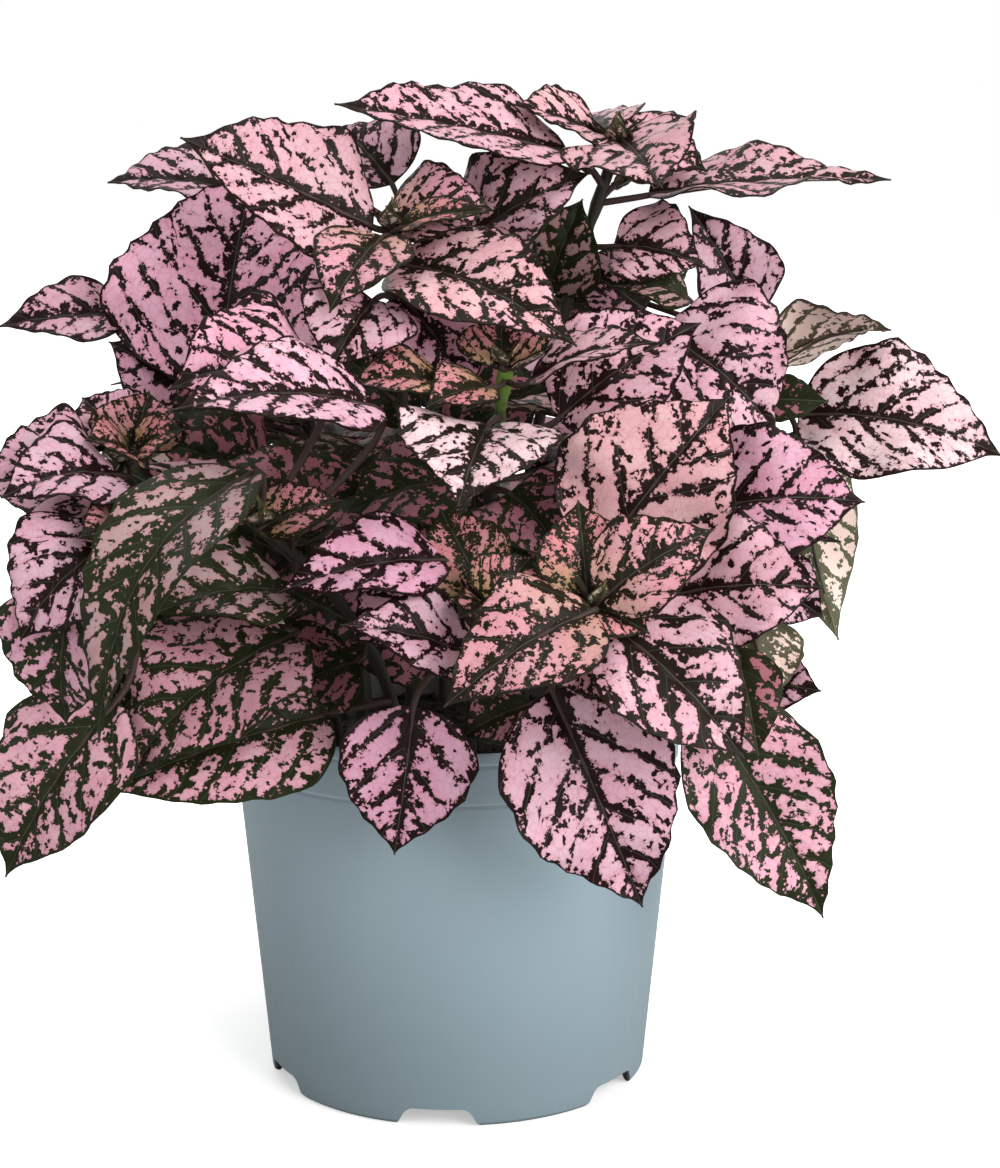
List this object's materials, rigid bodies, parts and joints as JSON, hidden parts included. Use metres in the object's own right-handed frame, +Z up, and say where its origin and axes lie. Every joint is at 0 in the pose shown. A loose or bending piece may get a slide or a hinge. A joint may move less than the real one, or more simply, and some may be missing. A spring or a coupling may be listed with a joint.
{
  "type": "potted polka dot plant",
  "caption": "Bushy houseplant with pink and dark green speckled leaves on upright stems, standing in soil in a tapered round nursery pot with a banded rim and a notched foot.",
  "frame": {"origin": "middle of the pot's foot, on the surface that the pot stands on", "axes": "+Z up along the pot's axis, -Y towards the front that the picture shows, +X to the right of that front"},
  "size_m": [0.2615, 0.2239, 0.2628],
  "materials": {
    "pot_plastic": "satin blue-grey polypropylene",
    "potting_soil": "moist dark peat, matte",
    "foliage": "soft leaf, pink patches between dark green veins, slightly glossy"
  },
  "bodies": {
    "root": {"pot": "pot_plastic", "soil": "potting_soil", "leafy_stem_right_front": "foliage", "leafy_stem_mid_front": "foliage", "leafy_stem_left_front": "foliage", "leafy_stem_mid_left": "foliage", "leafy_stem_left": "foliage", "leafy_stem_centre": "foliage", "leafy_stem_right_mid": "foliage", "leafy_stem_tall_left": "foliage", "leafy_stem_tall_right": "foliage", "leafy_stem_right": "foliage", "leafy_stem_back_left": "foliage", "leafy_stem_back_right": "foliage", "leafy_stem_back": "foliage", "leafy_stem_low_back_left": "foliage", "leafy_stem_low_back_right": "foliage"}
  },
  "joints": []
}
